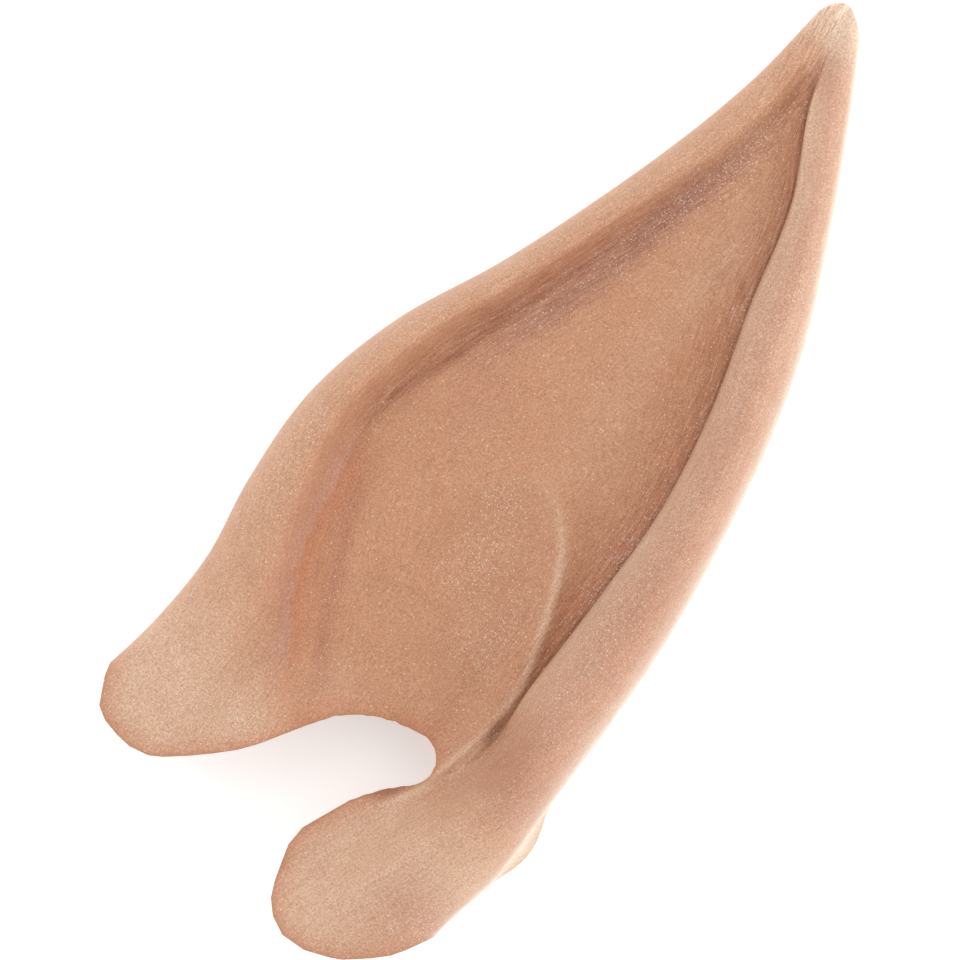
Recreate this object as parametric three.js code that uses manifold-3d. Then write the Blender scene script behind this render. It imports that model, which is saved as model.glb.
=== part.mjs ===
import * as THREE from 'three';
import { mergeVertices } from 'three/addons/utils/BufferGeometryUtils.js';
import Module from 'manifold-3d';

// Pointed fairy ear cap for the left ear, cast in one piece of latex, in millimetres.
// +Y runs along the ear to its tip, +X to its rear rim, and +Z out of its sculpted face.
// It lies on its back. The origin is the middle of its footprint, on the surface.

// Length of the ear, from the end of its rear lobe to its tip.
const EAR_LENGTH = 125;
// Width of the hollow face between the two rims, where it is widest.
const BOWL_WIDTH = 33;
// Widths of the rolled rims, in the middle of the ear.
const FRONT_ROLL = 6.4;
const REAR_ROLL = 8;
// Height of the hollow face above the surface, and of each rim above that face.
const BOWL_HEIGHT = 9.4;
const FRONT_RISE = 5.8;
const REAR_RISE = 10.6;
// Thickness of the latex.
const WALL = 1.5;
// Slight crown of the hollow face between its two creases.
const BOWL_CROWN = 0.6;
// Undercut below the sharp inner lip of the rear rim, height of that lip, and the least step that is
// left of it where it fades into a soft valley.
const LIP_OVERHANG = 0.8;
const LIP_HEIGHT = 2.4;
const MERGED_LIP = 0.2;
// Shallow inner bowl above the notch, with a fine ridge round it.
const CONCHA_WIDTH = 24;
const CONCHA_LENGTH = 54;
const CONCHA_DROP = 1.1;
const RIDGE_HEIGHT = 0.8;
// Corner of the back wall that sticks out from under the rear rim, beside the mouth.
const FLAP_FLARE = 1.4;
const FLAP_LENGTH = 13;
const FLAP_DROP = 3.5;
// Upright band along the outermost line, where the face turns into the back.
const EDGE_BAND = 1.2;
// Rounding of the tip, solid latex between the tip and the pocket, and rounding of the pocket's end.
const TIP_ROUNDING = 3.2;
const SOLID_TIP = 24;
const POCKET_ROUNDING = 8;
// Sweep of the trimmed mouth edge from the back wall up to the lobes, and its turn seen from the face.
const MOUTH_SWEEP = 12;
const MOUTH_SKEW = THREE.MathUtils.degToRad(14);

// Sections from the rear lobe to the tip. "at" is the place along the ear, as a share of its length.
// middle and bowl are shares of BOWL_WIDTH, the rolls and rises of the sizes they are named after.
// floor, edge and belly are the heights of the face, of the outermost line and of the underside,
// as shares of BOWL_HEIGHT. lip runs from 0, a soft valley, to 1, a sharp overhanging lip.
const SECTIONS = [
  { at: 0, middle: -0.155, bowl: 0.43, frontRoll: 2.55, rearRoll: 2.636, floor: 1.17,
    frontRise: 0.17, rearRise: 0.3, edge: 1.01, belly: 0.43, lip: 0 },
  { at: 0.08, middle: -0.082, bowl: 0.497, frontRoll: 2.48, rearRoll: 2.14, floor: 1.17,
    frontRise: 0.43, rearRise: 0.5, edge: 1.01, belly: 0.27, lip: 0 },
  { at: 0.16, middle: -0.011, bowl: 0.598, frontRoll: 2.28, rearRoll: 1.871, floor: 1.13,
    frontRise: 0.69, rearRise: 0.78, edge: 0.99, belly: 0.11, lip: 0 },
  { at: 0.24, middle: 0.06, bowl: 0.76, frontRoll: 2.13, rearRoll: 1.25, floor: 1.06,
    frontRise: 0.9, rearRise: 0.99, edge: 0.96, belly: -0.03, lip: 0.6 },
  { at: 0.32, middle: 0, bowl: 0.89, frontRoll: 1.7, rearRoll: 1.25, floor: 1.02,
    frontRise: 1, rearRise: 1, edge: 0.91, belly: -0.09, lip: 1 },
  { at: 0.42, middle: -0.05, bowl: 1.01, frontRoll: 1.16, rearRoll: 1.17, floor: 1,
    frontRise: 0.97, rearRise: 0.92, edge: 0.88, belly: -0.1, lip: 1 },
  { at: 0.52, middle: -0.02, bowl: 0.94, frontRoll: 1, rearRoll: 1.01, floor: 0.98,
    frontRise: 0.86, rearRise: 0.83, edge: 0.85, belly: -0.1, lip: 1 },
  { at: 0.62, middle: 0.03, bowl: 0.72, frontRoll: 0.91, rearRoll: 0.98, floor: 0.95,
    frontRise: 0.76, rearRise: 0.72, edge: 0.81, belly: -0.07, lip: 1 },
  { at: 0.72, middle: 0.05, bowl: 0.47, frontRoll: 0.91, rearRoll: 0.98, floor: 0.9,
    frontRise: 0.64, rearRise: 0.57, edge: 0.76, belly: -0.03, lip: 1 },
  { at: 0.82, middle: 0.07, bowl: 0.24, frontRoll: 0.97, rearRoll: 0.7, floor: 0.86,
    frontRise: 0.48, rearRise: 0.4, edge: 0.69, belly: 0.06, lip: 1 },
  { at: 0.9, middle: 0.03, bowl: 0.08, frontRoll: 0.8, rearRoll: 0.59, floor: 0.81,
    frontRise: 0.33, rearRise: 0.25, edge: 0.65, belly: 0.19, lip: 0.7 },
  { at: 0.96, middle: 0, bowl: 0.025, frontRoll: 0.63, rearRoll: 0.33, floor: 0.77,
    frontRise: 0.16, rearRise: 0.11, edge: 0.62, belly: 0.31, lip: 0.2 },
  { at: 1, middle: -0.05, bowl: 0.01, frontRoll: 0.33, rearRoll: 0.22, floor: 0.72,
    frontRise: 0.05, rearRise: 0.04, edge: 0.59, belly: 0.38, lip: 0 },
];

// Scissor-cut end of the face, from the rear edge round the rear lobe, up into the notch and round
// the front lobe. "at" is the share of the ear's length, and across runs from 0 at the front edge
// to 1 at the rear edge of the section there.
const TRIM = [
  { at: 0.116, across: 1.06 },
  { at: 0.081, across: 1 },
  { at: 0.049, across: 0.95 },
  { at: 0.016, across: 0.855 },
  { at: 0, across: 0.74 },
  { at: 0.016, across: 0.655 },
  { at: 0.049, across: 0.62 },
  { at: 0.084, across: 0.6 },
  { at: 0.121, across: 0.615 },
  { at: 0.154, across: 0.65 },
  { at: 0.188, across: 0.72 },
  { at: 0.209, across: 0.725 },
  { at: 0.224, across: 0.68 },
  { at: 0.218, across: 0.58 },
  { at: 0.198, across: 0.485 },
  { at: 0.158, across: 0.415 },
  { at: 0.118, across: 0.365 },
  { at: 0.083, across: 0.29 },
  { at: 0.062, across: 0.215 },
  { at: 0.06, across: 0.135 },
  { at: 0.074, across: 0.055 },
  { at: 0.1, across: 0.013 },
  { at: 0.14, across: -0.04 },
];

// Middle of the shallow inner bowl: share of the length along the ear, and of BOWL_WIDTH across it.
const CONCHA_PLACE = { at: 0.26, across: 0.06 };
// Shares of the shallow bowl's reach where its slope starts and where its ridge has faded out.
const CONCHA_SLOPE = 0.6;
const RIDGE_SPREAD = 0.125;
// Share of the hollow face, beside each crease, over which the shallow bowl fades out.
const CREASE_MARGIN = 0.15;
// Place of the back wall's corner and of the mouth's edge along the ear.
const FLAP_AT = 0.195;
const MOUTH_AT = 0.252;
// Heights of the lobes' lower edges beside the mouth and towards their ends, as shares of BOWL_HEIGHT,
// and the place along the ear from which they run level.
const LOBE_EDGE = 0.76;
const LOBE_END_EDGE = 0.96;
const LOBE_LEVEL_AT = 0.07;
// Place of a rim's crest between its crease and its outer edge.
const CREST_PLACE = 0.5;
// Share by which the pocket narrows at its end, where it runs out flat between the two walls.
const POCKET_NARROWING = 0.15;
// Roundness of the rim above its lip and of the back: 0.5 and 2 are a circle's.
const LIP_ROUNDNESS = 0.6;
const BACK_ROUNDNESS = 2.6;

// Numbers of steps in the meshes.
const LENGTH_STEPS = 52;
const ROLL_STEPS = 9;
const BOWL_STEPS = 12;
const BACK_STEPS = 14;
const POCKET_STEPS = 36;
const POCKET_ROLL_STEPS = 7;
const POCKET_BOWL_STEPS = 9;
const ROUNDING_STEPS = 5;
const TRIM_STEPS_PER_ROW = 3;
const WALL_PROBES = 8;
const MOUTH_STEPS = 8;
// Reach of the cutting solids beyond the ear, and places before its end where the uncut outside and
// the pocket start, as shares of the length.
const CUT_MARGIN = 12;
const OUTSIDE_START = -0.02;
const POCKET_START = -0.06;

const { clamp, lerp, mapLinear, smoothstep } = THREE.MathUtils;
const columns = Object.keys(SECTIONS[0]).filter((name) => name !== 'at');
const sectionCurve = new THREE.CubicInterpolant(
  SECTIONS.map((row) => row.at),
  SECTIONS.flatMap((row) => columns.map((name) => row[name])),
  columns.length,
);

// Sizes of the section at a place along the ear, in millimetres.
function sectionAt(at) {
  const values = sectionCurve.evaluate(at);
  const share = Object.fromEntries(columns.map((name, column) => [name, values[column]]));
  const frontCrease = (share.middle - share.bowl / 2) * BOWL_WIDTH;
  const lipLine = (share.middle + share.bowl / 2) * BOWL_WIDTH;
  const lip = clamp(share.lip, 0, 1);
  const rearEdge = lipLine + share.rearRoll * REAR_ROLL;
  const floor = share.floor * BOWL_HEIGHT;
  const edge = share.edge * BOWL_HEIGHT;
  const flapDistance = Math.abs(at - FLAP_AT) * EAR_LENGTH / (FLAP_LENGTH / 2);
  const flap = Math.max(0, 1 - flapDistance ** 2) ** 2;
  return {
    y: (at - 0.5) * EAR_LENGTH,
    frontEdge: frontCrease - share.frontRoll * FRONT_ROLL,
    frontCrease,
    lipLine,
    rearCrease: lipLine + lip * LIP_OVERHANG,
    rearEdge,
    backEdge: rearEdge + flap * FLAP_FLARE,
    floor,
    crown: share.bowl * BOWL_CROWN,
    frontCrest: floor + share.frontRise * FRONT_RISE,
    rearCrest: floor + share.rearRise * REAR_RISE,
    edge,
    rearBand: edge - EDGE_BAND / 2 - flap * FLAP_DROP,
    belly: share.belly * BOWL_HEIGHT,
    lip,
  };
}

// Height of a rim above its crease line. across runs from 0 at the crease to 1 at the outer edge.
function rollHeight(across, foot, crest, edge, lip) {
  if (across > CREST_PLACE) {
    const outward = Math.min(1, (across - CREST_PLACE) / (1 - CREST_PLACE));
    return lerp(edge, crest, Math.sqrt(1 - outward ** 2));
  }
  const inward = Math.min(1, 1 - across / CREST_PLACE);
  const soft = (1 + Math.cos(Math.PI * inward)) / 2;
  const lipShare = Math.min(1, LIP_HEIGHT / (crest - foot));
  const sharp = lerp(lipShare, 1, (1 - inward ** 2) ** LIP_ROUNDNESS);
  return lerp(foot, crest, lerp(soft, sharp, lip));
}

// Height of the shallow inner bowl and of its ridge above the rest of the hollow face.
function conchaRelief(x, y) {
  const fromMiddleX = x - CONCHA_PLACE.across * BOWL_WIDTH;
  const fromMiddleY = y - (CONCHA_PLACE.at - 0.5) * EAR_LENGTH;
  const reach = Math.hypot(fromMiddleX / (CONCHA_WIDTH / 2), fromMiddleY / (CONCHA_LENGTH / 2));
  const ridge = Math.exp(-(((reach - 1) / RIDGE_SPREAD) ** 2));
  const rearward = smoothstep(fromMiddleX, -CONCHA_WIDTH / 2, 0);
  return rearward * RIDGE_HEIGHT * ridge - CONCHA_DROP * (1 - smoothstep(reach, CONCHA_SLOPE, 1));
}

// Height of the sculpted face. The rear rim counts from the crease under its lip.
function faceHeight(x, section) {
  if (x < section.frontCrease) {
    const across = (section.frontCrease - x) / (section.frontCrease - section.frontEdge);
    return rollHeight(across, section.floor, section.frontCrest, section.edge, 0);
  }
  if (x <= section.rearCrease) {
    const across = (x - section.frontCrease) / (section.rearCrease - section.frontCrease);
    const crown = section.crown * 4 * across * (1 - across);
    const creases = smoothstep(Math.min(across, 1 - across), 0, CREASE_MARGIN);
    return section.floor + crown + creases * conchaRelief(x, section.y);
  }
  if (x <= section.rearEdge) {
    const across = (x - section.lipLine) / (section.rearEdge - section.lipLine);
    return rollHeight(across, section.floor, section.rearCrest, section.edge, section.lip);
  }
  const out = (x - section.rearEdge) / (section.backEdge - section.rearEdge);
  return lerp(section.edge, section.rearBand, Math.min(1, out));
}

// Height of the back wall's outside, which is flat where the ear rests on it.
function backHeight(x, section) {
  const across = (x - section.frontEdge) / (section.backEdge - section.frontEdge);
  const side = Math.min(1, Math.abs(2 * across - 1));
  const end = lerp(section.edge - EDGE_BAND, section.rearBand - EDGE_BAND / 2, across);
  const drop = (1 - side ** BACK_ROUNDNESS) ** (1 / BACK_ROUNDNESS);
  return Math.max(0, lerp(end, section.belly, drop));
}

// Places from start to end, closer together near both ends.
function spread(start, end, steps) {
  return Array.from({ length: steps + 1 }, (_, step) => (
    lerp(start, end, (1 - Math.cos(Math.PI * step / steps)) / 2)
  ));
}

// Outline of the outside at a section: over the face from the front edge, then back underneath.
function outsideOutline(section) {
  const rearRoll = spread(section.lipLine, section.rearEdge, ROLL_STEPS);
  const rearRim = rearRoll.map((x) => {
    const across = (x - section.lipLine) / (section.rearEdge - section.lipLine);
    const height = rollHeight(across, section.floor, section.rearCrest, section.edge, section.lip);
    return new THREE.Vector2(x, height);
  });
  rearRim[0].x = lerp(section.lipLine + MERGED_LIP, section.lipLine, section.lip);
  return [
    ...spread(section.frontEdge, section.frontCrease, ROLL_STEPS).slice(0, -1),
    ...spread(section.frontCrease, section.rearCrease, BOWL_STEPS),
  ].map((x) => new THREE.Vector2(x, faceHeight(x, section))).concat(
    rearRim,
    new THREE.Vector2(section.backEdge, section.rearBand),
    spread(section.backEdge, section.frontEdge, BACK_STEPS)
      .map((x) => new THREE.Vector2(x, backHeight(x, section))),
  );
}

// Outline of the pocket inside, one wall away from the outside in every direction.
function pocketOutline(section) {
  const probes = Array.from({ length: 2 * WALL_PROBES + 1 }, (_, probe) => {
    const sideways = WALL * (probe - WALL_PROBES) / WALL_PROBES;
    return { sideways, upward: Math.sqrt(WALL ** 2 - sideways ** 2) };
  });
  const start = section.frontEdge + WALL;
  const end = section.backEdge - WALL;
  const places = [
    ...spread(section.frontEdge, section.frontCrease, POCKET_ROLL_STEPS),
    ...spread(section.frontCrease, section.rearCrease, POCKET_BOWL_STEPS).slice(1),
    ...spread(section.rearCrease, section.backEdge, POCKET_ROLL_STEPS).slice(1),
  ].map((x) => mapLinear(x, section.frontEdge, section.backEdge, start, end));
  const bottom = places.map((x) => {
    const heights = probes.map(({ sideways, upward }) => backHeight(x + sideways, section) + upward);
    return new THREE.Vector2(x, Math.max(...heights));
  });
  const top = places.map((x, place) => {
    const heights = probes.map(({ sideways, upward }) => faceHeight(x + sideways, section) - upward);
    return new THREE.Vector2(x, Math.max(Math.min(...heights), bottom[place].y + EDGE_BAND / 4));
  });
  return [...top, ...bottom.reverse()];
}

// Middle of a section, below the hollow face.
function middleOf(section) {
  const across = (section.frontEdge + section.rearEdge) / 2;
  return new THREE.Vector2(across, (Math.max(0, section.belly) + section.floor) / 2);
}

// Rings of an outline along the ear, from a place below the lobes to an end that is rounded in height,
// and in width too as far as narrowing says, from 0 to 1.
function outlineRings({ outline, start, end, rounding, narrowing, steps }) {
  const roundFrom = end - rounding / EAR_LENGTH;
  const ring = (at, scale) => {
    const section = sectionAt(at);
    const middle = middleOf(section);
    const shrink = new THREE.Vector2(lerp(1, scale, narrowing), scale);
    return outline(section).map((point) => {
      const { x, y: z } = point.sub(middle).multiply(shrink).add(middle);
      return new THREE.Vector3(x, section.y, z);
    });
  };
  const rings = [];
  for (let step = 0; step <= steps; step += 1) {
    rings.push(ring(lerp(start, roundFrom, step / steps), 1));
  }
  for (let step = 1; step < ROUNDING_STEPS; step += 1) {
    const turn = Math.PI / 2 * step / ROUNDING_STEPS;
    rings.push(ring(lerp(roundFrom, end, Math.sin(turn)), Math.cos(turn)));
  }
  const endSection = sectionAt(end);
  const { x, y: z } = middleOf(endSection);
  return { rings, apex: new THREE.Vector3(x, endSection.y, z) };
}

// Closed skin over the rings: a flat cap on the first one and a fan to the apex at the other end.
function loft({ rings, apex }) {
  const ringSize = rings[0].length;
  const corners = [...rings.flat(), apex].flatMap((corner) => corner.toArray());
  const faces = [];
  for (let ring = 0; ring + 1 < rings.length; ring += 1) {
    for (let step = 0; step < ringSize; step += 1) {
      const a = ring * ringSize + step;
      const b = ring * ringSize + (step + 1) % ringSize;
      faces.push(a, b, a + ringSize, b, b + ringSize, a + ringSize);
    }
  }
  const lastRing = (rings.length - 1) * ringSize;
  for (let step = 0; step < ringSize; step += 1) {
    faces.push(lastRing + step, lastRing + (step + 1) % ringSize, rings.length * ringSize);
  }
  const capOutline = rings[0].map((corner) => new THREE.Vector2(corner.x, corner.z));
  for (const [a, b, c] of THREE.ShapeUtils.triangulateShape(capOutline, [])) {
    const upright = THREE.ShapeUtils.area([capOutline[a], capOutline[b], capOutline[c]]) > 0;
    faces.push(a, upright ? b : c, upright ? c : b);
  }
  const geometry = new THREE.BufferGeometry();
  geometry.setAttribute('position', new THREE.Float32BufferAttribute(corners, 3));
  geometry.setIndex(faces);
  return geometry;
}

// Everything beyond the scissor-cut end of the face, right through the ear.
function trimCutter() {
  const outline = TRIM.map(({ at, across }) => {
    const section = sectionAt(at);
    return new THREE.Vector2(lerp(section.frontEdge, section.rearEdge, across), section.y);
  });
  const below = -EAR_LENGTH / 2 - CUT_MARGIN;
  const [first] = outline;
  const last = outline.at(-1);
  const shape = new THREE.Shape([
    ...new THREE.SplineCurve(outline).getPoints(TRIM_STEPS_PER_ROW * (TRIM.length - 1)),
    new THREE.Vector2(last.x - CUT_MARGIN, last.y),
    new THREE.Vector2(last.x - CUT_MARGIN, below),
    new THREE.Vector2(first.x + CUT_MARGIN, below),
    new THREE.Vector2(first.x + CUT_MARGIN, first.y),
  ]);
  const height = BOWL_HEIGHT + REAR_RISE + 2 * CUT_MARGIN;
  const cutter = new THREE.ExtrudeGeometry(shape, { depth: height, bevelEnabled: false });
  return cutter.translate(0, 0, -CUT_MARGIN);
}

// Everything below the mouth: the back wall ends here, and past it only the lobes' skin goes on.
function mouthCutter() {
  const mouth = (MOUTH_AT - 0.5) * EAR_LENGTH;
  const below = -EAR_LENGTH / 2 - CUT_MARGIN;
  const top = LOBE_EDGE * BOWL_HEIGHT;
  const shape = new THREE.Shape();
  shape.moveTo(below, -CUT_MARGIN);
  shape.lineTo(mouth, -CUT_MARGIN);
  shape.lineTo(mouth, 0);
  shape.quadraticCurveTo(mouth - MOUTH_SWEEP / 3, top, mouth - MOUTH_SWEEP, top);
  shape.lineTo((LOBE_LEVEL_AT - 0.5) * EAR_LENGTH, LOBE_END_EDGE * BOWL_HEIGHT);
  shape.lineTo(below, LOBE_END_EDGE * BOWL_HEIGHT);
  shape.closePath();
  const cutter = new THREE.ExtrudeGeometry(shape, {
    depth: EAR_LENGTH,
    bevelEnabled: false,
    curveSegments: MOUTH_STEPS,
  });
  const lengthwise = new THREE.Vector3(0, 1, 0);
  const upward = new THREE.Vector3(0, 0, 1);
  const crosswise = new THREE.Vector3(1, 0, 0);
  cutter.translate(0, 0, -EAR_LENGTH / 2);
  cutter.applyMatrix4(new THREE.Matrix4().makeBasis(lengthwise, upward, crosswise));
  cutter.translate(0, -mouth, 0).rotateZ(-MOUTH_SKEW).translate(0, mouth, 0);
  return cutter;
}

const wasm = await Module();
wasm.setup();

// Solid with shared corners, ready to be cut.
function toSolid(geometry) {
  geometry.deleteAttribute('normal');
  geometry.deleteAttribute('uv');
  const merged = mergeVertices(geometry);
  return new wasm.Manifold(new wasm.Mesh({
    numProp: 3,
    vertProperties: merged.attributes.position.array,
    triVerts: Uint32Array.from(merged.index.array),
  }));
}

// The whole ear: its outside, less the pocket, the trimmed end of the face and the open mouth.
function earShell() {
  const outside = toSolid(loft(outlineRings({
    outline: outsideOutline,
    start: OUTSIDE_START,
    end: 1,
    rounding: TIP_ROUNDING,
    narrowing: 1,
    steps: LENGTH_STEPS,
  })));
  const pocket = toSolid(loft(outlineRings({
    outline: pocketOutline,
    start: POCKET_START,
    end: 1 - SOLID_TIP / EAR_LENGTH,
    rounding: POCKET_ROUNDING,
    narrowing: POCKET_NARROWING,
    steps: POCKET_STEPS,
  })));
  const shell = outside.subtract(pocket).subtract(toSolid(trimCutter())).subtract(toSolid(mouthCutter()));
  const { vertProperties, triVerts } = shell.getMesh();
  const geometry = new THREE.BufferGeometry();
  geometry.setAttribute('position', new THREE.Float32BufferAttribute(vertProperties, 3));
  geometry.setIndex([...triVerts]);
  geometry.computeBoundingBox();
  const middle = geometry.boundingBox.getCenter(new THREE.Vector3());
  geometry.translate(-middle.x, -middle.y, -geometry.boundingBox.min.z);
  geometry.computeVertexNormals();
  return geometry;
}

const latex = new THREE.MeshStandardMaterial({ color: 0xd3a283, roughness: 0.6, metalness: 0 });
const ear = new THREE.Mesh(earShell(), latex);
ear.name = 'ear_shell';

const part = new THREE.Group();
part.add(ear);

export default part;
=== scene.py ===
import math
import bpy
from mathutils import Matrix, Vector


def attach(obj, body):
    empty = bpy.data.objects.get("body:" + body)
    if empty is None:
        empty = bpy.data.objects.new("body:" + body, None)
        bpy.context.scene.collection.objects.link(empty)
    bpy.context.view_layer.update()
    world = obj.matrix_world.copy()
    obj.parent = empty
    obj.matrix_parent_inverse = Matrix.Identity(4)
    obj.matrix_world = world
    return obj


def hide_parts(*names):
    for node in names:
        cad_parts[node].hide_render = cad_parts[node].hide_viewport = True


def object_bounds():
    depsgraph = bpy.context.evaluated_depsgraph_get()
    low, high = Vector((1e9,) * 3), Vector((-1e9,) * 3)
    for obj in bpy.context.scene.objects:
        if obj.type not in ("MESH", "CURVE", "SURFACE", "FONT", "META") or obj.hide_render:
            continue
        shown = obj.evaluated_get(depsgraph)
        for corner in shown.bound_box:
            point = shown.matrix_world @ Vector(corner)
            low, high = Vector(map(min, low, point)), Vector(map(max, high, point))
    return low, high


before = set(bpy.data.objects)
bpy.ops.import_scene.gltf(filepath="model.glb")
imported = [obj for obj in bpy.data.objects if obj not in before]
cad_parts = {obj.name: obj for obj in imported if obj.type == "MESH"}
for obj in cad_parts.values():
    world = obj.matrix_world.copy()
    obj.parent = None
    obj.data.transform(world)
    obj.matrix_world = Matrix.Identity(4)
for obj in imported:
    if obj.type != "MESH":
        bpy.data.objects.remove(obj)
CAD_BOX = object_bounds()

from types import SimpleNamespace

import bmesh
import bpy
import numpy as np
from mathutils import Vector

# Latex ear cap, lying on its back on a pale floor and seen from straight above.
# Lengths are in millimetres, in the frame's own axes, and become metres in the meshes.
MM = 0.001
EAR_LENGTH = (CAD_BOX[1].y - CAD_BOX[0].y) / MM

# Driving sizes of the ear, the same as the solid's.
BOWL_WIDTH = 33
FRONT_ROLL = 6.4
REAR_ROLL = 8
BOWL_HEIGHT = 9.4
FRONT_RISE = 5.8
REAR_RISE = 10.6
WALL = 1.5
BOWL_CROWN = 0.6
LIP_OVERHANG = 0.8
LIP_HEIGHT = 2.4
MERGED_LIP = 0.2
CONCHA_WIDTH = 24
CONCHA_LENGTH = 54
CONCHA_DROP = 1.1
RIDGE_HEIGHT = 0.8
FLAP_FLARE = 1.4
FLAP_LENGTH = 13
FLAP_DROP = 3.5
EDGE_BAND = 1.2
TIP_ROUNDING = 3.2
SOLID_TIP = 24
POCKET_ROUNDING = 8
MOUTH_SWEEP = 12
MOUTH_SKEW = math.radians(14)
CONCHA_AT = 0.26
CONCHA_ACROSS = 0.06
CONCHA_SLOPE = 0.6
RIDGE_SPREAD = 0.125
CREASE_MARGIN = 0.15
FLAP_AT = 0.195
MOUTH_AT = 0.252
LOBE_EDGE = 0.76
LOBE_END_EDGE = 0.96
LOBE_LEVEL_AT = 0.07
CREST_PLACE = 0.5
POCKET_NARROWING = 0.15
LIP_ROUNDNESS = 0.6
BACK_ROUNDNESS = 2.6

# Sections from the rear lobe to the tip: place along the ear as a share of its length, middle and
# width of the bowl as shares of BOWL_WIDTH, widths of the rolls, height of the face, rises of the
# rims, heights of the outermost line and the underside, and sharpness of the rear lip. The rear lip
# ends softer on the lobe, and its crease runs out finer at the tip, than in the solid.
COLUMNS = "at middle bowl front_roll rear_roll floor front_rise rear_rise edge belly lip".split()
SECTIONS = np.array([
    (0.00, -0.155, 0.43, 2.55, 2.636, 1.17, 0.17, 0.30, 1.01, 0.43, 0.0),
    (0.08, -0.082, 0.497, 2.48, 2.14, 1.17, 0.43, 0.50, 1.01, 0.27, 0.0),
    (0.16, -0.011, 0.598, 2.28, 1.871, 1.13, 0.69, 0.78, 0.99, 0.11, 0.0),
    (0.24, 0.06, 0.76, 2.13, 1.25, 1.06, 0.90, 0.99, 0.96, -0.03, 0.0),
    (0.32, 0.00, 0.89, 1.70, 1.25, 1.02, 1.00, 1.00, 0.91, -0.09, 1.0),
    (0.42, -0.05, 1.01, 1.16, 1.17, 1.00, 0.97, 0.92, 0.88, -0.10, 1.0),
    (0.52, -0.02, 0.94, 1.00, 1.01, 0.98, 0.86, 0.83, 0.85, -0.10, 1.0),
    (0.62, 0.03, 0.72, 0.91, 0.98, 0.95, 0.76, 0.72, 0.81, -0.07, 1.0),
    (0.72, 0.05, 0.47, 0.91, 0.98, 0.90, 0.64, 0.57, 0.76, -0.03, 1.0),
    (0.82, 0.07, 0.24, 0.97, 0.70, 0.86, 0.48, 0.40, 0.69, 0.06, 1.0),
    (0.90, 0.018, 0.056, 0.80, 0.69, 0.81, 0.33, 0.25, 0.65, 0.19, 0.8),
    (0.96, -0.029, 0.009, 0.522, 0.481, 0.85, 0.03, 0.03, 0.62, 0.31, 0.0),
    (1.00, -0.05, 0.01, 0.33, 0.22, 0.72, 0.05, 0.04, 0.59, 0.38, 0.0),
])

# Scissor-cut end of the face: place along the ear, and share across the section there from its
# front edge to its rear edge.
TRIM = np.array([
    (0.116, 1.06), (0.081, 1.0), (0.049, 0.95), (0.016, 0.855), (0.0, 0.74), (0.016, 0.655),
    (0.049, 0.62), (0.084, 0.6), (0.121, 0.615), (0.154, 0.65), (0.188, 0.72), (0.209, 0.725),
    (0.224, 0.68), (0.218, 0.58), (0.198, 0.485), (0.158, 0.415), (0.118, 0.365), (0.083, 0.29),
    (0.062, 0.215), (0.06, 0.135), (0.074, 0.055), (0.1, 0.013), (0.14, -0.04),
])

# Fine relief of the face. Each line has points along it, the height of its crest (below zero for a
# groove) and its half width, and the shares of its length over which it fades in and out.
FINE_LINES = {
    "front_groove": dict(height=-0.25, width=0.9, fade_in=0.2, fade_out=0.45, points=[
        (-20.0, -14.5), (-18.8, -6.6), (-17.3, -2.0), (-15.3, 3.2), (-13.4, 10.4), (-11.2, 17.6),
        (-9.2, 22.8), (-7.4, 30.0), (-5.4, 37.5)]),
    "front_wire": dict(height=0.12, width=0.5, fade_in=0.3, fade_out=0.3, points=[
        (-18.6, -8.6), (-17.3, -4.6), (-14.6, 2.4), (-12.7, 7.4), (-10.6, 13.8), (-8.6, 20.0),
        (-6.6, 27.4)]),
    "second_valley": dict(height=-0.4, width=1.5, fade_in=0.35, fade_out=0.3, points=[
        (-15.4, -1.0), (-12.6, 5.6), (-9.2, 12.4), (-6.8, 20.4), (-5.0, 27.6), (-3.1, 35.4), (-1.3, 41.6),
        (-0.6, 48.0)]),
    "front_step": dict(height=0.14, width=0.9, fade_in=0.2, fade_out=0.2, points=[
        (-18.6, -8.4), (-17.7, -13.4), (-16.8, -18.9), (-16.2, -22.7), (-14.9, -27.4), (-13.1, -31.0),
        (-9.9, -36.2), (-8.2, -41.7)]),
    "bowl_start": dict(height=-0.28, width=1.3, fade_in=0.25, fade_out=0.2, points=[
        (-15.8, -11.0), (-14.0, -18.3), (-11.5, -24.3), (-8.6, -31.0), (-5.8, -35.4), (-3.8, -40.5)]),
    "concha_ridge": dict(height=0.32, width=0.75, fade_in=0.35, fade_out=0.1, points=[
        (-2.8, -4.6), (0.4, -3.1), (4.4, -3.7), (9.0, -8.8), (12.4, -17.7), (13.9, -23.7), (13.8, -29.5),
        (12.5, -35.1), (11.8, -38.3), (10.5, -41.1), (8.9, -43.7), (7.1, -45.6)]),
    "rim_ridge": dict(height=0.3, width=0.5, fade_in=0.3, fade_out=0.5, points=[
        (14.8, -28.6), (14.3, -32.0), (13.6, -35.2), (12.9, -37.6)]),
}
FINE_LINE_STEPS = 4
# Skin turned down beside the notch, along the end of the concha's ridge. Its shares count along the
# ridge, and its widths away from it.
TURNED_SKIN_DROP = 0.9
TURNED_SKIN_START = (0.8, 0.9)
TURNED_SKIN_FADE_OUT = 0.08
TURNED_SKIN_NEAR = 1.3
TURNED_SKIN_FAR = (2.4, 4)
# Dimple where the rear rim's lip ends.
DIMPLE_PLACE = (14.6, -29.4)
DIMPLE_DEPTH = 0.35
DIMPLE_WIDTH = 0.8
DIMPLE_LENGTH = 2.2
# Lumps of the hand-made mould, with the lengths of their waves.
LUMP_HEIGHT = 0.1
LUMP_WAVES = (5.5, 7, 9.5, 13, 17, 23)

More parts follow.
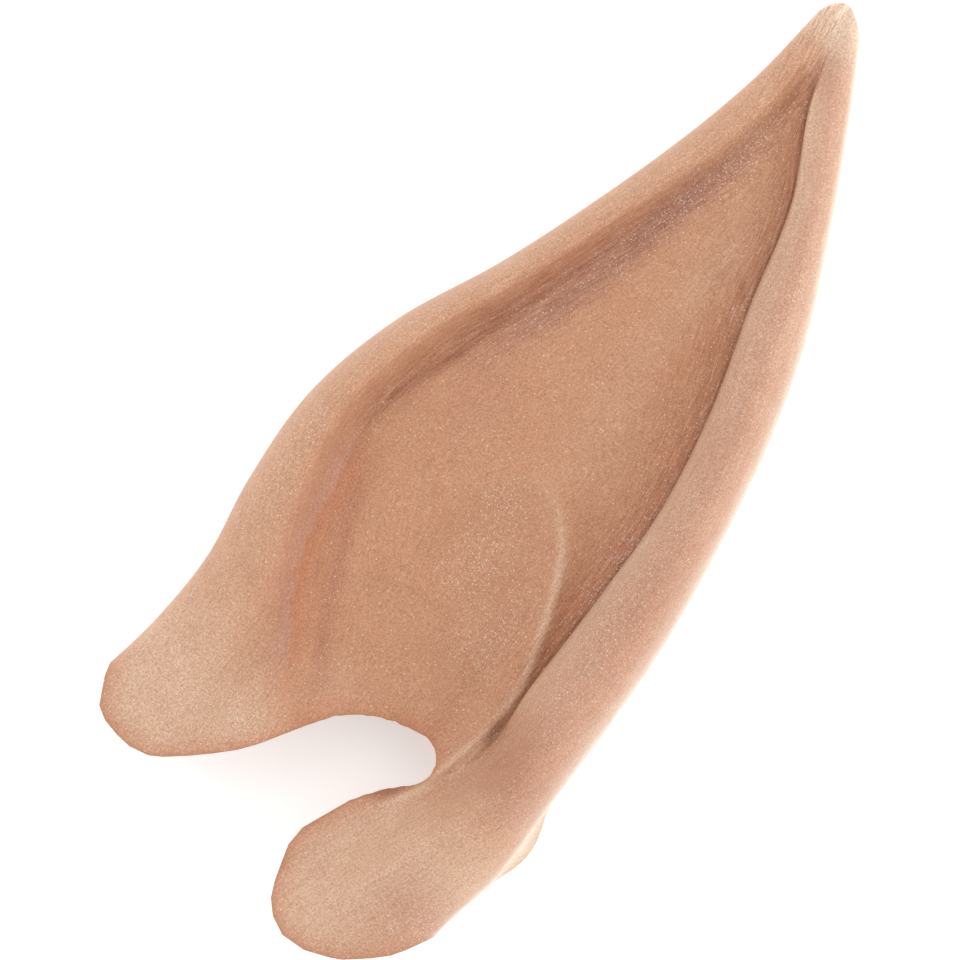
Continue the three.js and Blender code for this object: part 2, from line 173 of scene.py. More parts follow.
# Scissor snips along the cut end: shortest and longest in the notch and on the lobes.
NOTCH_MIDDLE = (4.5, -40)
NOTCH_REACH = 8
NOTCH_SNIPS = (0.5, 1.0)
LOBE_SNIPS = (1.4, 3.6)
SNIP_WOBBLE = 0.06
SEED = 7

# Colours of the latex, and of the shade and highlights painted onto it, in the studio light, as 8-bit
# sRGB.
TAN = (205, 153, 121)
PALE = (219, 179, 151)
ROSE = (207, 160, 134)
# The brown beside the rear lip is painted shade.
LIP_SHADE_BROWN = (184, 119, 88)
# Red brown and plum darken the front creases, grooves and second valley: partly the airbrushed wash,
# partly painted shade.
RED_BROWN = (174, 116, 92)
PLUM = (172, 123, 104)
ORANGE = (200, 134, 99)
PINK = (200, 150, 128)
DUSKY = (188, 135, 109)
# The undercut colour is painted shade on the skin turned down beside the notch.
UNDERCUT_SHADE = (150, 94, 70)
# Cream paints the highlights along the rear rim's outer edge and at the flap's fold, and a patch near the
# tip.
CREAM = (248, 232, 212)
# The light line colour paints highlights on the ridges and along the rear lip, and lightens the tip.
LIGHT_LINE = (228, 196, 168)
# The flap's tone is a painted glow of light through the thin flap.
FLAP_GLOW_TONE = (226, 192, 158)
# The dark line colour paints the shadow under the rear lip, the dimple's shade and the shade in the front
# crease, and the pits.
DARK_LINE = (132, 70, 46)
TALC = (250, 240, 230)
LIGHT_LEVEL = 1.15
GLOSS = 0.015

# Broad coats: how much shows, and where it fades in or out. Places along count from the rear lobe to
# the tip, and places across a rim from its inner line to its outer edge, as shares.
ROSE_ACROSS = (-0.02, 0.1)
ROSE_STARTS = 0.2
# The rims are paler towards their outer edges: partly airbrushing, partly painted light on their outer
# slopes.
FRONT_PALE = 0.4
FRONT_PALE_ACROSS = (0.2, 0.75)
REAR_PALE = 0.45
REAR_PALE_ACROSS = (0.2, 0.85)
REAR_PALE_ALONG = (0.3, 0.75)
LOBE_PALE_ALONG = (0.13, 0.26)
# Painted shade in the bowl beside the rear lip: how strong it starts and ends, and where it changes.
LIP_SHADE_START = 0.42
LIP_SHADE_END = 0.2
LIP_SHADE_ALONG = (0.5, 0.75)
TIP_LIGHT = 0.9
TIP_LIGHT_ALONG = (0.93, 1.0)
# Painted highlight along the rear rim's outer edge.
REAR_RIM_HIGHLIGHT = 0.4
REAR_RIM_HIGHLIGHT_ACROSS = (0.78, 1.0)
REAR_RIM_HIGHLIGHT_ALONG = (0.18, 0.3)
CREASE_COAT_ALONG = (0.3, 0.5)
LIP_STARTS = (0.27, 0.33)
LIP_ENDS = (0.88, 0.94)

# Painted shade and highlights near the rear lip, the notch and the flap's fold, and the flap's painted
# glow: how much shows, and lengths over which it fades.
LIP_SHADE_REACH = (0.6, 6)
LIP_SHADOW = 0.8
LIP_SHADOW_FADE = 0.5
TURNED_SKIN_SHADOW = 0.7
DIMPLE_SHADOW = 0.45
LIP_EDGE_AT = 0.4
LIP_TOP_AT = 1.2
FLAP_FOLD_AT = 0.1
FLAP_GLOW = 0.8
FLAP_GLOW_FROM_FOLD = (0.3, 0.8)
OUT_OF_REACH = 99

# Coats along lines of the face: colour, line, amount and half width. In the creases, grooves and valley
# they are partly the airbrushed wash and partly painted shade; on the concha and rim ridges they are
# painted highlights. The painted shadows under the lip and the turned skin go over the first ones and
# under the others.
LINE_COATS = (
    (RED_BROWN, "front_crease", 0.2, 1.3), (RED_BROWN, "front_groove", 0.3, 1.4),
    (PLUM, "second_valley", 0.65, 1.9), (DARK_LINE, "front_wire", 0.25, 0.35),
    (PINK, "outside_step", 0.8, 2.2), (ORANGE, "inside_step", 0.65, 2.8),
    (RED_BROWN, "bowl_start", 0.35, 1.2), (ORANGE, "cut_end", 0.5, 1.8),
    # Painted highlights on the concha ridge and the rim ridge.
    (LIGHT_LINE, "concha_ridge", 0.65, 0.6), (LIGHT_LINE, "rim_ridge", 0.6, 0.4),
)
# Painted highlights along the rear lip's edge and top.
LIP_HIGHLIGHTS = ((LIGHT_LINE, "lip_edge", 0.6, 0.35), (LIGHT_LINE, "lip_top", 0.35, 1.2))
# Painted highlight at the flap's fold.
FLAP_FOLD_HIGHLIGHT = ((CREAM, "flap_fold", 0.9, 0.4),)

# Airbrushed patches: colour, middle, reach across and along the ear, and amount. The pink patch on the
# rear lobe at 21, -51.5 is a painted sheen.
PATCHES = (
    (DUSKY, 17.5, -53.1, 4.5, 5.0, 0.4), (DUSKY, 19.0, -32.0, 2.4, 6.0, 0.55),
    (PALE, 11.5, -49.6, 2.5, 8.0, 0.6), (PINK, 21.0, -51.5, 3.0, 3.0, 0.5),
    (ORANGE, -6.0, -40.0, 5.0, 3.0, 0.4), (ORANGE, 7.0, 18.0, 2.5, 8.0, 0.35),
    (DUSKY, -9.0, 1.0, 3.5, 7.0, 0.3), (PALE, 4.0, 8.0, 4.0, 10.0, 0.2),
    (PALE, 3.5, 28.0, 3.0, 9.0, 0.3), (DUSKY, 20.0, -9.0, 3.0, 9.0, 0.35),
    (DUSKY, 17.0, 13.5, 3.0, 9.0, 0.2), (DUSKY, 22.3, -33.0, 2.5, 5.0, 0.2),
    (CREAM, -0.5, 60.0, 3.0, 4.0, 0.3), (TAN, 11.9, 4.6, 2.0, 14.0, 0.3),
)

# Patches of talc: middle, reach across and along the ear, and density. The patch at 21, -52 paints a
# whitish sheen on the rear lobe with talc specks.
TALC_PATCHES = (
    (-1.2, 42.0, 2.0, 5.0, 0.75), (-3.4, 33.0, 1.6, 6.0, 0.35), (-0.6, -7.2, 2.4, 2.4, 0.5),
    (1.5, -14.3, 3.0, 5.0, 0.5), (7.5, -21.0, 3.0, 5.0, 0.45), (-14.9, -52.0, 2.0, 1.2, 0.7),
    (-8.6, -45.8, 5.0, 2.0, 0.5), (15.5, -4.0, 2.5, 9.0, 0.5), (17.5, -14.0, 2.5, 9.0, 0.35),
    (-20.0, -45.0, 6.0, 8.0, 0.2), (14.4, -29.6, 0.7, 0.7, 1.0), (15.3, -4.5, 0.7, 5.0, 0.6),
    (13.0, 20.0, 3.0, 16.0, 0.2), (9.1, 27.2, 1.2, 2.2, 0.5), (21.0, -52.0, 3.0, 3.0, 0.5),
    (-23.0, -18.0, 2.0, 8.0, 0.25),
)
TALC_EVERYWHERE = 0.05
VALLEY_TALC = 0.25
VALLEY_TALC_REACH = 1.6

# Brush strokes: how strong they are everywhere, and beside the rear lip and the front grooves. They
# run along the nearer crease, which changes over in the middle of the bowl.
STROKES_EVERYWHERE = 0.25
LIP_STROKES = 0.75
LIP_STROKES_REACH = 5
LIP_STROKES_ALONG = (-30, -18)
GROOVE_STROKES = 0.6
GROOVE_STROKES_REACH = 2
STROKED_GROOVES = ("front_groove", "second_valley")
CREASE_CHANGE = (0.3, 0.7)

# Skin of the latex. Scales are features per millimetre, the other sizes are in millimetres.
GRAIN_SCALE = 4.5
GRAIN_DETAIL = 2
GRAIN_CONTRAST = 1.15
GRAIN_DEPTH = 0.05
GRAIN_CHANNELS = (0.7, 1.05, 1.3)
MOTTLE_SCALE = 0.25
MOTTLE_DETAIL = 3
MOTTLE_CONTRAST = 0.18
STROKE_SCALE = (5.0, 0.4, 0.4)
STROKE_CONTRAST = 1.4
PIT_CELLS = 2.2
PIT_RADIUS = 0.16
PIT_DENSITY = 0.15
PIT_STRENGTH = 0.3
FINE_TALC_CELLS = 6.0
COARSE_TALC_CELLS = 3.4
TALC_RADIUS = 0.26
TALC_STRENGTH = 0.62
CUT_RIM = 0.35
CUT_RIM_STRENGTH = 0.45
CUT_COLOUR = (184, 128, 96)
EDGE_SOFTNESS = 0.25
EDGE_SAMPLES = 4
ROUGHNESS = 0.52
ROUGHNESS_SWING = 0.2
SPECULAR_LEVEL = 0.3
SHEEN = 0.06
SHEEN_ROUGHNESS = 0.4
SKIN_GLOW = 0.25
SKIN_GLOW_COLOURS = (1, 0.4, 0.25)
SKIN_GLOW_DEPTH = 0.8
SHARP_FROM = math.radians(50)

# Paint of the face: depths below the face down to which it holds and at which it is gone, and a
# margin for rounding where the bowl meets the crease under the rear lip.
PAINT_HOLDS = 0.9
PAINT_GONE = 5
SEAM = 0.02

# Studio: floor, daylight from all round, and soft boxes with their azimuth from the photo's right
# side, elevation, distance, size and power in watts.
WHITE = (1, 1, 1, 1)
FLOOR_SIZE = 3000
FLOOR_COLOUR = (0.9, 0.9, 0.9, 1)
FLOOR_ROUGHNESS = 0.8
FLOOR_GLOW = 0.3
DAYLIGHT = 0.95
SOFTBOXES = (
    ("right_softbox", 0, 18, 900, 600, 3.3),
    ("upper_left_softbox", 135, 50, 1100, 700, 2.5),
)

# Steps of the meshes, evenness of the steps across a section, reach of the cutting solids past the
# ear, and the places along the ear where its skins start, which the cuts take away.
LENGTH_STEPS = 380
ROLL_STEPS = 26
BOWL_STEPS = 96
BACK_STEPS = 24
POCKET_LENGTH_STEPS = 130
POCKET_ROLL_STEPS = 14
POCKET_BOWL_STEPS = 22
ROUNDING_STEPS = 14
WALL_PROBES = 8
MOUTH_STEPS = 24
TRIM_STEPS_PER_ROW = 6
CUT_MARGIN = 12
EVENNESS = 0.25
OUTSIDE_START = -0.02
POCKET_START = -0.06

# Camera: it stands straight above the point that the photo's middle shows.
VIEW_MIDDLE = Vector((-3.95, -6.86, 9.0))
VIEW_TURN = math.radians(36)
VIEW_WIDTH = 110.4
LENS = 300
SENSOR = 36


def lerp(a, b, t):
    return a * (1 - t) + b * t


def smoothstep(value, low, high):
    t = np.clip((value - low) / (high - low), 0, 1)
    return t * t * (3 - 2 * t)


def section_shares(at):
    """Rows of the section table at places along the ear, on a smooth cubic through its rows."""
    knots = SECTIONS[:, 0]
    i1 = np.clip(np.searchsorted(knots, at, side="right"), 1, len(knots) - 1)
    i0 = i1 - 1
    before = np.where(i0 > 0, i0 - 1, i1)
    after = np.where(i1 < len(knots) - 1, i1 + 1, i0)
    t0, t1 = knots[i0], knots[i1]
    w0 = 0.5 * (t1 - t0) / (t0 - knots[before])
    w1 = 0.5 * (t1 - t0) / (knots[after] - t1)
    p = np.clip((at - t0) / (t1 - t0), 0, 1)
    weights = (
        (before, -w0 * p**3 + 2 * w0 * p**2 - w0 * p),
        (i0, (1 + w0) * p**3 - (1.5 + 2 * w0) * p**2 + (w0 - 0.5) * p + 1),
        (i1, -(1 + w1) * p**3 + (1.5 + w1) * p**2 + 0.5 * p),
        (after, w1 * (p**3 - p**2)),
    )
    return sum(weight[..., None] * SECTIONS[row] for row, weight in weights)


def section_at(at):
    """Sizes of the sections at places along the ear, each with a last axis of one."""
    at = np.asarray(at, float)
    rows = section_shares(at)
    share = {name: rows[..., column, None] for column, name in enumerate(COLUMNS)}
    at = at[..., None]
    s = SimpleNamespace(y=(at - 0.5) * EAR_LENGTH)
    s.front_crease = (share["middle"] - share["bowl"] / 2) * BOWL_WIDTH
    s.lip_line = (share["middle"] + share["bowl"] / 2) * BOWL_WIDTH
    s.lip = np.clip(share["lip"], 0, 1)
    s.front_edge = s.front_crease - share["front_roll"] * FRONT_ROLL
    s.rear_crease = s.lip_line + s.lip * LIP_OVERHANG
    s.rear_edge = s.lip_line + share["rear_roll"] * REAR_ROLL
    flap = np.maximum(0, 1 - ((at - FLAP_AT) * EAR_LENGTH / (FLAP_LENGTH / 2)) ** 2) ** 2
    s.back_edge = s.rear_edge + flap * FLAP_FLARE
    s.floor = share["floor"] * BOWL_HEIGHT
    s.crown = share["bowl"] * BOWL_CROWN
    s.front_crest = s.floor + share["front_rise"] * FRONT_RISE
    s.rear_crest = s.floor + share["rear_rise"] * REAR_RISE
    s.edge = share["edge"] * BOWL_HEIGHT
    s.rear_band = s.edge - EDGE_BAND / 2 - flap * FLAP_DROP
    s.belly = share["belly"] * BOWL_HEIGHT
    return s


def roll_height(across, foot, crest, edge, lip):
    """Height of a rim, across from 0 at its crease to 1 at its outer edge."""
    outward = np.clip((across - CREST_PLACE) / (1 - CREST_PLACE), 0, 1)
    outer = lerp(edge, crest, np.sqrt(1 - outward**2))
    inward = np.clip(1 - across / CREST_PLACE, 0, 1)
    soft = (1 + np.cos(np.pi * inward)) / 2
    lip_share = np.minimum(1, LIP_HEIGHT / (crest - foot))
    sharp = lerp(lip_share, 1, (1 - inward**2) ** LIP_ROUNDNESS)
    return np.where(across > CREST_PLACE, outer, lerp(foot, crest, lerp(soft, sharp, lip)))


def concha_relief(x, y):
    """Height of the shallow inner bowl and of its ridge above the rest of the hollow face."""
    out_x = x - CONCHA_ACROSS * BOWL_WIDTH
    out_y = y - (CONCHA_AT - 0.5) * EAR_LENGTH
    reach = np.hypot(out_x / (CONCHA_WIDTH / 2), out_y / (CONCHA_LENGTH / 2))
    ridge = np.exp(-(((reach - 1) / RIDGE_SPREAD) ** 2))
    rearward = smoothstep(out_x, -CONCHA_WIDTH / 2, 0)
    return rearward * RIDGE_HEIGHT * ridge - CONCHA_DROP * (1 - smoothstep(reach, CONCHA_SLOPE, 1))


def face_height(x, s):
    """Height of the sculpted face. The rear rim counts from the crease under its lip."""
    front = roll_height((s.front_crease - x) / (s.front_crease - s.front_edge),
                        s.floor, s.front_crest, s.edge, 0)
    across = np.clip((x - s.front_crease) / (s.rear_crease - s.front_crease), 0, 1)
    creases = smoothstep(np.minimum(across, 1 - across), 0, CREASE_MARGIN)
    bowl = s.floor + s.crown * 4 * across * (1 - across) + creases * concha_relief(x, s.y)
    rear = roll_height((x - s.lip_line) / (s.rear_edge - s.lip_line),
                       s.floor, s.rear_crest, s.edge, s.lip)
    out = np.clip((x - s.rear_edge) / np.maximum(s.back_edge - s.rear_edge, 1e-6), 0, 1)
    band = lerp(s.edge, s.rear_band, out)
    return np.select([x < s.front_crease, x <= s.rear_crease, x <= s.rear_edge], [front, bowl, rear], band)


def back_height(x, s):
    """Height of the back wall's outside, which is flat where the ear rests on it."""
    across = (x - s.front_edge) / (s.back_edge - s.front_edge)
    side = np.clip(np.abs(2 * across - 1), 0, 1)
    end = lerp(s.edge - EDGE_BAND, s.rear_band - EDGE_BAND / 2, across)
    drop = (1 - side**BACK_ROUNDNESS) ** (1 / BACK_ROUNDNESS)
    return np.maximum(0, lerp(end, s.belly, drop))


def spread(start, end, steps):
    """Places from start to end, closer together near both ends."""
    even = np.arange(steps + 1) / steps
    return lerp(start, end, lerp((1 - np.cos(np.pi * even)) / 2, even, EVENNESS))


def near(line, x, y):
    """Distance to a line, share of the line at its nearest place, and 1 on its left or -1."""
    x, y = np.broadcast_arrays(x, y)
    distance = np.full(x.shape, np.inf)
    share = np.zeros(x.shape)
    side = np.ones(x.shape)
    lengths = np.hypot(*np.diff(line, axis=0).T)
    passed = np.concatenate([[0], np.cumsum(lengths)]) / lengths.sum()
    for start, end, length, before, after in zip(line, line[1:], lengths, passed, passed[1:]):
        along_x, along_y = (end - start) / length
        out_x, out_y = x - start[0], y - start[1]
        reached = np.clip(out_x * along_x + out_y * along_y, 0, length)
        gap = np.hypot(out_x - reached * along_x, out_y - reached * along_y)
        nearer = gap < distance
        distance = np.where(nearer, gap, distance)
        share = np.where(nearer, lerp(before, after, reached / length), share)
        side = np.where(nearer, np.sign(along_x * out_y - along_y * out_x), side)
    return distance, share, side


def fine_lines(x, y):
    """Distance, share, side and strength of each fine line at places of the face."""
    out = {}
    for name, line in FINE_LINES.items():
        distance, share, side = near(spline(np.array(line["points"]), FINE_LINE_STEPS), x, y)
        strength = smoothstep(share, 0, line["fade_in"]) * smoothstep(1 - share, 0, line["fade_out"])
        out[name] = (distance, share, side, strength)
    return out


def hump(distance, width):
    """Smooth bell that is 1 at no distance."""
    return np.exp(-(distance / width) ** 2)


def lumps(x, y):
    """Slow seeded waves over the skin, from -1 to 1."""
    rng = np.random.default_rng(SEED)
    waves = 0
    for length in LUMP_WAVES:
        turn, phase = rng.uniform(0, 2 * np.pi, 2)
        waves = waves + np.sin(2 * np.pi * (x * np.cos(turn) + y * np.sin(turn)) / length + phase)
    return waves / len(LUMP_WAVES)


def turned_skin(lines):
    """How far the skin beside the notch is turned down, from 0 to 1."""
    distance, share, side, _ = lines["concha_ridge"]
    beside = smoothstep(distance, 0, TURNED_SKIN_NEAR) * (1 - smoothstep(distance, *TURNED_SKIN_FAR))
    fade = smoothstep(share, *TURNED_SKIN_START) * smoothstep(1 - share, 0, TURNED_SKIN_FADE_OUT)
    return np.where(side < 0, beside, 0) * fade


def dimple(x, y):
    return hump(x - DIMPLE_PLACE[0], DIMPLE_WIDTH) * hump(y - DIMPLE_PLACE[1], DIMPLE_LENGTH)


def fine_relief(x, y):
    """Height of the fine lines, lumps and dimple on top of the face."""
    lines = fine_lines(x, y)
    height = LUMP_HEIGHT * lumps(x, y)
    height = height - TURNED_SKIN_DROP * turned_skin(lines) - DIMPLE_DEPTH * dimple(x, y)
    for name, (distance, _, _, strength) in lines.items():
        line = FINE_LINES[name]
        height = height + line["height"] * strength * hump(distance, line["width"])
    return height


def outside_outline(s):
    """Outline of the outside at each section: over the face from the front edge, then back."""
    face = np.concatenate([
        spread(s.front_edge, s.front_crease, ROLL_STEPS)[..., :-1],
        spread(s.front_crease, s.rear_crease, BOWL_STEPS),
    ], axis=-1)
    rim = spread(s.lip_line + MERGED_LIP * (1 - s.lip), s.rear_edge, ROLL_STEPS)
    rim_height = roll_height((rim - s.lip_line) / (s.rear_edge - s.lip_line),
                             s.floor, s.rear_crest, s.edge, s.lip)
    back = spread(s.back_edge, s.front_edge, BACK_STEPS)
    across = np.concatenate([face, rim, s.back_edge, back], axis=-1)
    height = np.concatenate([face_height(face, s), rim_height, s.rear_band, back_height(back, s)], axis=-1)
    sculpted = face.shape[-1] + rim.shape[-1]
    height[..., :sculpted] += fine_relief(across[..., :sculpted], s.y)
    return across, height


def pocket_outline(s):
    """Outline of the pocket inside, one wall away from the outside in every direction."""
    stations = np.concatenate([
        spread(s.front_edge, s.front_crease, POCKET_ROLL_STEPS),
        spread(s.front_crease, s.rear_crease, POCKET_BOWL_STEPS)[..., 1:],
        spread(s.rear_crease, s.back_edge, POCKET_ROLL_STEPS)[..., 1:],
    ], axis=-1)
    share = (stations - s.front_edge) / (s.back_edge - s.front_edge)
    x = lerp(s.front_edge + WALL, s.back_edge - WALL, share)
    top = np.full(x.shape, np.inf)
    bottom = np.full(x.shape, -np.inf)
    for sideways in np.linspace(-WALL, WALL, 2 * WALL_PROBES + 1):
        upward = math.sqrt(max(0, WALL**2 - sideways**2))
        top = np.minimum(top, face_height(x + sideways, s) - upward)
        bottom = np.maximum(bottom, back_height(x + sideways, s) + upward)
    top = np.maximum(top, bottom + EDGE_BAND / 4)
    return np.concatenate([x, x[..., ::-1]], axis=-1), np.concatenate([top, bottom[..., ::-1]], axis=-1)


def middle_of(s):
    """Middle of each section, below the hollow face."""
    return (s.front_edge + s.rear_edge) / 2, (np.maximum(0, s.belly) + s.floor) / 2


def loft(outline, start, end, rounding, narrowing, steps):
    """Closed skin over rings of an outline: a flat cap at its start and a rounded far end."""
    round_from = end - rounding / EAR_LENGTH
    turn = np.pi / 2 * np.arange(1, ROUNDING_STEPS) / ROUNDING_STEPS
    at = np.concatenate([np.linspace(start, round_from, steps + 1),
                         lerp(round_from, end, np.sin(turn))])
    scale = np.concatenate([np.ones(steps + 1), np.cos(turn)])[:, None]
    s = section_at(at)
    across, height = outline(s)
    middle_x, middle_z = middle_of(s)
    across = middle_x + (across - middle_x) * lerp(1, scale, narrowing)
    height = middle_z + (height - middle_z) * scale
    rings = np.stack([across, np.broadcast_to(s.y, across.shape), height], axis=-1)
    last = section_at(np.array([end]))
    apex = np.array([[middle_of(last)[0][0, 0], last.y[0, 0], middle_of(last)[1][0, 0]]])
    count, size = across.shape
    corner = np.arange(count * size).reshape(count, size)
    a, b = corner[:-1], np.roll(corner, -1, axis=1)[:-1]
    c, d = np.roll(corner, -1, axis=1)[1:], corner[1:]
    quads = np.stack([a, b, c, d], axis=-1).reshape(-1, 4).tolist()
    fan = [(int(corner[-1, i]), int(corner[-1, (i + 1) % size]), count * size) for i in range(size)]
    cap = [int(i) for i in corner[0, ::-1]]
    return np.concatenate([rings.reshape(-1, 3), apex]), quads + fan + [cap]


def spline(points, steps):
    """Smooth curve through points, with a number of steps between each two of them."""
    padded = np.concatenate([2 * points[:1] - points[1:2], points, 2 * points[-1:] - points[-2:-1]])
    t = (np.arange(steps) / steps)[:, None]
    out = []
    for p0, p1, p2, p3 in zip(padded, padded[1:], padded[2:], padded[3:]):
        v0, v1 = (p2 - p0) / 2, (p3 - p1) / 2
        cubic = 2 * p1 - 2 * p2 + v0 + v1
        square = -3 * p1 + 3 * p2 - 2 * v0 - v1
        out.append(cubic * t**3 + square * t**2 + v0 * t + p1)
    return np.concatenate(out + [points[-1:]])


def trim_line(steps):
    """Scissor-cut line seen from above, from the rear edge round both lobes to the front edge."""
    s = section_at(TRIM[:, 0])
    x = lerp(s.front_edge, s.rear_edge, TRIM[:, 1:])
    return spline(np.concatenate([x, s.y], axis=1), steps)


def snips(line):
    """Corners where straight scissor snips along a smooth line meet."""
    rng = np.random.default_rng(SEED)
    passed = np.concatenate([[0], np.cumsum(np.hypot(*np.diff(line, axis=0).T))])
    places = [0]
    while places[-1] < passed[-1]:
        here = [np.interp(places[-1], passed, line[:, axis]) for axis in (0, 1)]
        in_notch = math.dist(here, NOTCH_MIDDLE) < NOTCH_REACH
        places.append(places[-1] + rng.uniform(*(NOTCH_SNIPS if in_notch else LOBE_SNIPS)))
    corners = np.column_stack([np.interp(places, passed, line[:, axis]) for axis in (0, 1)])
    return corners + rng.normal(0, SNIP_WOBBLE, corners.shape)


def prism(outline, low, high):
    """Closed upright solid over an outline."""
    count = len(outline)
    bottom = np.column_stack([outline, np.full(count, low)])
    top = np.column_stack([outline, np.full(count, high)])
    sides = [(i, (i + 1) % count, (i + 1) % count + count, i + count) for i in range(count)]
    return np.concatenate([bottom, top]), sides + [list(range(count))[::-1], list(range(count, 2 * count))]


def trim_cutter():
    """Everything beyond the scissor-cut line, right through the ear."""
    line = snips(trim_line(TRIM_STEPS_PER_ROW))
    below = -EAR_LENGTH / 2 - CUT_MARGIN
    corners = np.array([
        (line[-1, 0] - CUT_MARGIN, line[-1, 1]), (line[-1, 0] - CUT_MARGIN, below),
        (line[0, 0] + CUT_MARGIN, below), (line[0, 0] + CUT_MARGIN, line[0, 1]),
    ])
    return prism(np.concatenate([line, corners]), -CUT_MARGIN, BOWL_HEIGHT + REAR_RISE + CUT_MARGIN)


def mouth_cutter():
    """Everything below the mouth: past it only the lobes' skin goes on."""
    mouth = (MOUTH_AT - 0.5) * EAR_LENGTH
    below = -EAR_LENGTH / 2 - CUT_MARGIN
    top = LOBE_EDGE * BOWL_HEIGHT
    t = np.arange(1, MOUTH_STEPS + 1)[:, None] / MOUTH_STEPS
    start = np.array([mouth, 0])
    pull = np.array([mouth - MOUTH_SWEEP / 3, top])
    end = np.array([mouth - MOUTH_SWEEP, top])
    sweep = (1 - t) ** 2 * start + 2 * t * (1 - t) * pull + t**2 * end
    profile = np.concatenate([
        [(below, -CUT_MARGIN), (mouth, -CUT_MARGIN), (mouth, 0)], sweep,
        [((LOBE_LEVEL_AT - 0.5) * EAR_LENGTH, LOBE_END_EDGE * BOWL_HEIGHT)],
        [(below, LOBE_END_EDGE * BOWL_HEIGHT)],
    ])
    corners, faces = prism(profile, -EAR_LENGTH / 2, EAR_LENGTH / 2)
    along, up, across = corners[:, 0] - mouth, corners[:, 1], corners[:, 2]
    turned_x = across * math.cos(MOUTH_SKEW) + along * math.sin(MOUTH_SKEW)
    turned_y = -across * math.sin(MOUTH_SKEW) + along * math.cos(MOUTH_SKEW)
    return np.column_stack([turned_x, turned_y + mouth, up]), faces


def mesh_object(name, corners, faces):
    mesh = bpy.data.meshes.new(name)
    mesh.from_pydata((corners * MM).tolist(), [], faces)
    obj = bpy.data.objects.new(name, mesh)
    bpy.context.scene.collection.objects.link(obj)
    return obj


def outward(obj):
    """Turns a closed mesh's faces outward."""
    bm = bmesh.new()
    bm.from_mesh(obj.data)
    bmesh.ops.recalc_face_normals(bm, faces=bm.faces)
    bm.to_mesh(obj.data)
    bm.free()


def cut(obj, tools):
    """Takes closed solids away from another, for good."""
    for tool in tools:
        modifier = obj.modifiers.new(tool.name, "BOOLEAN")
        modifier.operation = "DIFFERENCE"
        modifier.solver = "MANIFOLD"
        modifier.object = tool
    bpy.context.view_layer.update()
    evaluated = obj.evaluated_get(bpy.context.evaluated_depsgraph_get())
    whole = bpy.data.meshes.new_from_object(evaluated)
    obj.modifiers.clear()
    obj.data = whole
    for tool in tools:
        bpy.data.objects.remove(tool)


def make_ear():
    ear = mesh_object("latex_ear", *loft(outside_outline, OUTSIDE_START, 1, TIP_ROUNDING, 1, LENGTH_STEPS))
    pocket = mesh_object("pocket", *loft(pocket_outline, POCKET_START, 1 - SOLID_TIP / EAR_LENGTH,
                                         POCKET_ROUNDING, POCKET_NARROWING, POCKET_LENGTH_STEPS))
    tools = [pocket, mesh_object("trim", *trim_cutter()), mesh_object("mouth", *mouth_cutter())]
    for solid in [ear, *tools]:
        outward(solid)
    cut(ear, tools)
    ear.data.shade_smooth()
    ear.data.set_sharp_from_angle(angle=SHARP_FROM)
    return ear


def linear(colour):
    """Base colour that shows as an 8-bit sRGB colour in the studio light."""
    seen = (np.array(colour) / 255 + 0.055) / 1.055
    return (seen**2.4 - GLOSS) / LIGHT_LEVEL


def bowl_side(x, z, s):
    """Whether places are on the bowl's side of the rear lip, its undercut included."""
    below_lip = (x < s.rear_crease + SEAM) & (z < s.floor + LIP_HEIGHT / 2)
    return (x < s.lip_line - SEAM) | below_lip


def followed_lines(x, s, lines, from_cut, along, lip_length):
    """Distance to each line that a coat follows, and how strong the line is."""
    followed = {name: (distance, strength) for name, (distance, _, _, strength) in lines.items()}
    from_step, _, side, step = lines["front_step"]
    followed["front_crease"] = (x - s.front_crease, smoothstep(along, *CREASE_COAT_ALONG))
    followed["outside_step"] = (from_step, np.where(side > 0, 0, step))
    followed["inside_step"] = (from_step, np.where(side > 0, step, 0))
    followed["cut_end"] = (from_cut, 1)
    followed["lip_edge"] = (x - s.lip_line - LIP_EDGE_AT, lip_length)
    followed["lip_top"] = (x - s.lip_line - LIP_TOP_AT, lip_length)
    followed["flap_fold"] = (x - s.rear_edge - FLAP_FOLD_AT, 1)
    return followed


def coats_along(table, followed):
    """Coats of a table, strongest on the lines that they follow."""
    coats = []
    for colour, line, amount, width in table:
        distance, strength = followed[line]
        coats.append((colour, amount * strength * hump(distance, width)))
    return coats


